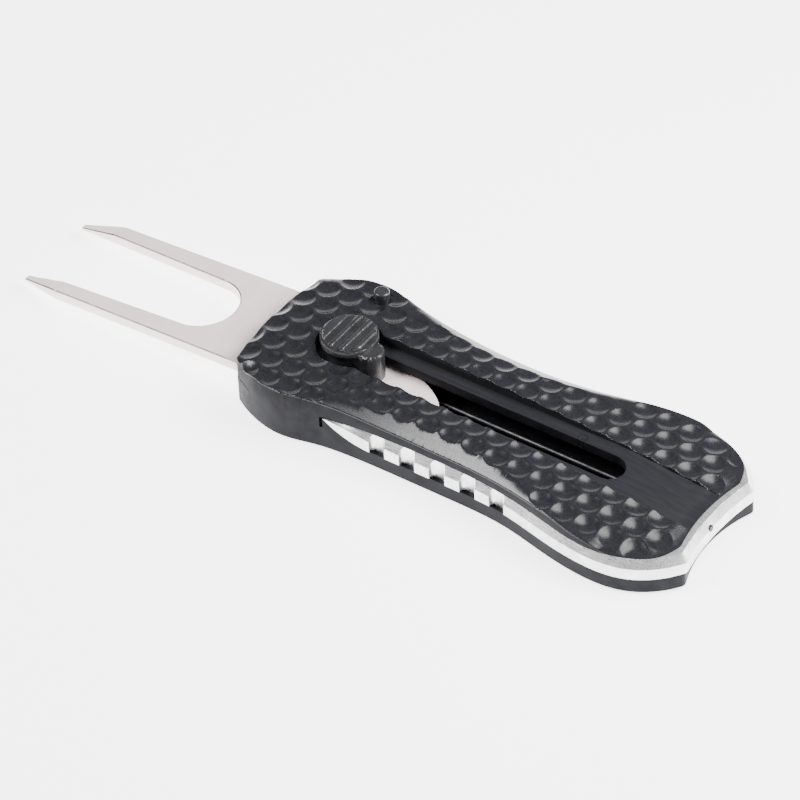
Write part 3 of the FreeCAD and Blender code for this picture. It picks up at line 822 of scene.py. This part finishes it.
def thumb_button():
    """Ribbed disc on a round base, over the foot that passes through the slot."""
    disc = circle(BUTTON, BUTTON_R, 0.2)
    crown = circle(BUTTON, BUTTON_R - RIB_INSET, 0.2)
    base = circle(BUTTON, BUTTON_BASE_R, 0.2)
    foot = stadium(FOOT_X, FOOT_Y)
    rib_foot_z = BUTTON_TOP_Z - RIB_H
    half_groove = (RIB_PITCH - RIB_W) / 2
    grooves = [BUTTON[0] + GROOVE_X0 + k * RIB_PITCH for k in range(GROOVE_COUNT)]
    walls = [line((x + side, BUTTON[1] - 5), (x + side, BUTTON[1] + 5), 0.3)
             for x in grooves for side in (-half_groove, half_groove)]
    walls = [wall[np.hypot(*(wall - BUTTON).T) < BUTTON_R - RIB_INSET - 0.03] for wall in walls]
    rows = [offset(loop, d) for loop in (disc, crown, foot) for d in (-0.06, -0.13, -0.2)]
    beside = [wall + (side, 0) for wall in walls
              for side in (-0.32, -0.22, -0.12, -0.05, 0.05, 0.12, 0.22, 0.32)]
    spots = np.concatenate(rows + beside + [grid_points(disc, 0.35), grid_points(foot, 0.35)])

    def in_groove(p):
        return np.min([np.abs(p[:, 0] - x) for x in grooves], axis=0) < half_groove

    def kinds(p):
        out = np.hypot(*(p - BUTTON).T)
        upper = np.full(len(p), NOTHING)
        upper[inside(p, foot)] = FOOT
        upper[out < BUTTON_R] = HEAD
        upper[(out < BUTTON_R - RIB_INSET) & ~in_groove(p)] = RIB
        lower = np.full(len(p), FOOT_DOWN)
        lower[out < BUTTON_R] = HEAD_DOWN
        lower[out < BUTTON_BASE_R] = BASE_DOWN
        lower[inside(p, foot)] = FOOT_DOWN
        return upper, lower

    def top(kind, xy):
        out = np.hypot(*(xy - BUTTON).T)
        if kind == FOOT:
            return FOOT_TOP_Z - eased(distance(xy, foot), FOOT_EDGE_R)
        if kind == HEAD:
            return rib_foot_z - eased(np.maximum(BUTTON_R - out, 0), DISC_EDGE_R)
        edge = np.maximum(BUTTON_R - RIB_INSET - out, 0)
        sides = np.min([np.abs(np.abs(xy[:, 0] - x) - half_groove) for x in grooves], axis=0)
        return BUTTON_TOP_Z - eased(edge, RIB_END_R) - eased(sides, RIB_SIDE_R)

    def bottom(kind, xy):
        level = {FOOT_DOWN: BLADE_Z + BLADE_T, BASE_DOWN: BUTTON_BASE_Z,
                 HEAD_DOWN: BUTTON_HEAD_Z}[kind]
        return np.full(len(xy), level)

    return plan_solid("button_skin", [disc, crown, base, foot], walls, spots, kinds, top, bottom)


# ------------------------------------------------------------------ centre frame

def smooth_side():
    """Side of the frame without its notches, from the front cut to the horn."""
    side = spline(FRAME_SIDE, 0.25)
    side = side[side[:, 0] > WINDOW_TIP_X + 0.05]
    start = np.interp(WINDOW_TIP_X, *spline(FRAME_SIDE, 0.25).T)
    return np.concatenate([[(WINDOW_TIP_X, start)], side])


def notched_side():
    """The same side with its grip notches."""
    side = smooth_side()
    turn = np.linspace(0, math.pi, 21)
    across = -NOTCH_W / 2 * np.cos(turn)
    deep = NOTCH_DEPTH * np.abs(np.sin(turn)) ** 0.6
    parts, start = [], WINDOW_TIP_X - 1
    for k in range(NOTCH_COUNT):
        x = NOTCH_START + k * NOTCH_PITCH
        parts.append(side[(side[:, 0] > start) & (side[:, 0] < x - NOTCH_W / 2 - 0.05)])
        edge = np.interp(x + across, *side.T)
        parts.append(np.stack([x + across, edge - deep], 1))
        start = x + NOTCH_W / 2 + 0.05
    parts.append(side[side[:, 0] > start])
    return np.concatenate(parts)


def center_frame():
    """Bright U-shaped frame with a bevelled top edge, grip notches and a curved front tip."""
    tail_x, tail_half = FRAME_SIDE[-1]
    tail = bow(tail_x, tail_half, FRAME_NOTCH_X)
    side, smooth = notched_side(), smooth_side()
    mirror = (1, -1)
    inner = [(WINDOW_TIP_X, -POCKET_HALF), (POCKET_END_X, -POCKET_HALF),
             (POCKET_END_X, POCKET_HALF), (WINDOW_TIP_X, POCKET_HALF)]
    runs = [line(side[0] * mirror, inner[0])] + [line(a, b) for a, b in zip(inner, inner[1:])]
    runs.append(line(inner[-1], side[0]))
    outline = closed([side, tail, side[::-1] * mirror] + runs, [HORN, HORN] + [0] * 6)
    rim = closed([smooth, tail, smooth[::-1] * mirror, line(smooth[0] * mirror, smooth[0])],
                 [HORN, HORN, 0, 0])
    rim = rim[rim[:, 0] > WINDOW_TIP_X + 0.01]
    crease = [offset(rim, -width)[2:-2] for width in (0.2, 0.4, 0.6, BEVEL_W - 0.05, BEVEL_W)]
    rows = [offset(outline, d) for d in (-0.05, -0.1)]
    loose = np.concatenate([grid_points(outline, 0.4)] + rows + crease)
    loose = loose[inside(loose, outline)]

    def kinds(p):
        shape = np.where(inside(p, outline), 0, NOTHING)
        return shape, shape

    def top(kind, xy):
        growth = np.clip((xy[:, 0] - WINDOW_TIP_X) / (WINDOW_FOOT_X - WINDOW_TIP_X), 0.1, 1)
        slope = BEVEL_DROP / BEVEL_W * growth
        return FRAME_Z1 - slope * np.maximum(BEVEL_W - distance(xy, rim, False), 0)

    def bottom(kind, xy):
        rise = FRAME_Z1 - FRAME_Z0
        run = WINDOW_FOOT_X - WINDOW_TIP_X
        radius = (rise ** 2 + run ** 2) / (2 * rise)
        reach = np.maximum(WINDOW_FOOT_X - xy[:, 0], 0)
        arc = FRAME_Z0 + radius - np.sqrt(radius ** 2 - reach ** 2)
        return np.minimum(arc, top(kind, xy) - 0.03)

    return plan_solid("frame_ring", [outline], [], loose, kinds, top, bottom)


def upright_disc(name, centre, radius, x_range):
    """Short round pin along X with a softened end."""
    turn = np.linspace(0, 2 * math.pi, 33)[:-1]
    rings = [(x_range[0], radius), (x_range[1] - PIN_EDGE, radius),
             (x_range[1], radius - PIN_EDGE), (x_range[1], 0.02)]
    verts, faces = [], []
    for x, r in rings:
        verts += [(x * MM, (centre[0] + r * math.cos(a)) * MM, (centre[1] + r * math.sin(a)) * MM)
                  for a in turn]
    count = len(turn)
    for k in range(len(rings) - 1):
        for i in range(count):
            j = (i + 1) % count
            faces.append((k * count + i, k * count + j, (k + 1) * count + j, (k + 1) * count + i))
    faces.append(tuple(range(count))[::-1])
    faces.append(tuple(range((len(rings) - 1) * count, len(rings) * count)))
    mesh = bpy.data.meshes.new(name)
    mesh.from_pydata(verts, [], faces)
    return finished(name, mesh)


# ------------------------------------------------------------------ studio

def studio():
    """White floor, dim surround, and five lamps.

    The key draws the flanks and the side lamp fills from the tail.  The low backdrop draws the
    crescents in the dimples and the small lamp above the tail the bright spots there.
    """
    mesh = bpy.data.meshes.new("floor")
    corners = [(-1, -1), (1, -1), (1, 1), (-1, 1)]
    mesh.from_pydata([(x * FLOOR_HALF_M, y * FLOOR_HALF_M, -FLOOR_GAP * MM) for x, y in corners],
                     [], [(0, 1, 2, 3)])
    floor = bpy.data.objects.new("floor", mesh)
    bpy.context.scene.collection.objects.link(floor)
    made, shader = material("white_floor", (0.92, 0.92, 0.92), 0.9)
    shader.inputs["Emission Color"].default_value = (1, 1, 1, 1)
    shader.inputs["Emission Strength"].default_value = 3.6
    floor.data.materials.append(made)
    world = bpy.data.worlds.new("studio")
    world.use_nodes = True
    background = world.node_tree.nodes["Background"]
    background.inputs["Color"].default_value = (0.9, 0.9, 0.92, 1)
    background.inputs["Strength"].default_value = 0.1
    bpy.context.scene.world = world
    soft_box("key", azimuth=219, elevation=49, distance_m=0.9, size=(0.36, 0.36), power=8.5)
    soft_box("side", azimuth=18, elevation=38, distance_m=0.9, size=(0.5, 0.5), power=14)
    soft_box("tail_glow", azimuth=32, elevation=54, distance_m=0.16, size=(0.08, 0.08), power=0.2)
    soft_box("backdrop", azimuth=127, elevation=10, distance_m=1.2, size=(1.6, 0.3), power=2.6)
    soft_box("dim_card", azimuth=127, elevation=45, distance_m=1.2, size=(0.9, 0.8), power=0.5)


def direction(azimuth, elevation):
    """Unit vector towards a light or camera; azimuth 0 is +X, counted to +Y."""
    a, e = math.radians(azimuth), math.radians(elevation)
    return Vector((math.cos(e) * math.cos(a), math.cos(e) * math.sin(a), math.sin(e)))


def soft_box(name, azimuth, elevation, distance_m, size, power):
    """Rectangular lamp that looks at the origin and is not seen by the camera."""
    data = bpy.data.lights.new(name, "AREA")
    data.shape = "RECTANGLE"
    data.size, data.size_y = size
    data.energy = power
    lamp = bpy.data.objects.new(name, data)
    lamp.visible_camera = False
    towards = direction(azimuth, elevation)
    lamp.location = towards * distance_m
    lamp.rotation_euler = towards.to_track_quat("Z", "Y").to_euler()
    bpy.context.scene.collection.objects.link(lamp)


def camera():
    """The photograph's view: from the near right, 42 degrees up, tilted 3 degrees."""
    aim = Vector(CAMERA_AIM) * MM
    reach = CAMERA_REACH * MM
    look = Vector((-math.sin(CAMERA_HEADING) * math.cos(CAMERA_ELEVATION),
                   math.cos(CAMERA_HEADING) * math.cos(CAMERA_ELEVATION),
                   -math.sin(CAMERA_ELEVATION)))
    level = Vector((math.cos(CAMERA_HEADING), math.sin(CAMERA_HEADING), 0))
    upright = level.cross(look)
    right = math.cos(CAMERA_ROLL) * level + math.sin(CAMERA_ROLL) * upright
    up = right.cross(look)
    data = bpy.data.cameras.new("camera")
    data.lens = CAMERA_LENS
    data.sensor_width = 36.0
    data.clip_start = 0.01
    obj = bpy.data.objects.new("camera", data)
    axes = Matrix((right, up, -look)).transposed()
    obj.matrix_world = Matrix.Translation(aim - look * reach) @ axes.to_4x4()
    bpy.context.scene.collection.objects.link(obj)
    bpy.context.scene.camera = obj


# ------------------------------------------------------------------ assembly

BLACK = satin_black()
CHANNEL_BLACK = channel_black()
SIDE_BLACK = side_black()
CHROME = bright_chrome()
STEEL = satin_steel()
# painted shade: dark steel for the rounded edges of the fork, so they read as dark lines
PAINTED_EDGE_SHADE = plain_part("painted_edge_shade", (0.16, 0.14, 0.15), (0.30, 0.27, 0.27), 0.3, 1.0, 0.4)
GLOSS = gloss_black()
OXIDE = plain_part("black_oxide", (0.02, 0.02, 0.022), (0.05, 0.05, 0.055), 0.4, 0.6, 0.5)
# painted shade: the polished steel parts get a near-black steel so the rods read dim inside the
# slot
SHADED_ROD_STEEL = plain_part("rod_steel_painted_shade", (0.05, 0.05, 0.055), (0.09, 0.09, 0.095), 0.45, 1.0, 0.4)
WIRE = plain_part("spring_wire", (0.45, 0.45, 0.47), (0.66, 0.66, 0.68), 0.3, 1.0, 0.3)
MOULDED = plain_part("moulded_black", (0.02, 0.02, 0.021), (0.05, 0.05, 0.052), 0.55, 0.0, 0.6)
ELASTIC = plain_part("elastomer", (0.015, 0.015, 0.015), (0.035, 0.035, 0.035), 0.8, 0.0, 0.5)

CAD_LOOKS = {"shell": SIDE_BLACK, "frame": CHROME, "blade": STEEL, "button": GLOSS,
             "fastener": OXIDE, "polished_steel": SHADED_ROD_STEEL, "spring_steel": WIRE,
             "inner_plastic": MOULDED, "bumper": ELASTIC}

for part in frame["record"]["subparts"]:
    shown = frame["nodes"][part["node"]]
    shown.data.materials.clear()
    shown.data.materials.append(CAD_LOOKS[part["material_slot"]])

place(top_shell(), "housing", ["top_shell"], [BLACK, CHANNEL_BLACK, SIDE_BLACK])
place(fork_blade(), "fork", ["fork_blade"], [STEEL, PAINTED_EDGE_SHADE])
place(thumb_button(), "fork", ["thumb_button"], [GLOSS])
place(center_frame(), "housing", ["center_frame"], [CHROME])
place(upright_disc("tail_pin_end", TAIL_PIN, TAIL_PIN_R, TAIL_PIN_X), "housing", ["tail_pin"],
      [OXIDE])
coil_spring("drive_spring")
coil_spring("lock_spring")

studio()
camera()
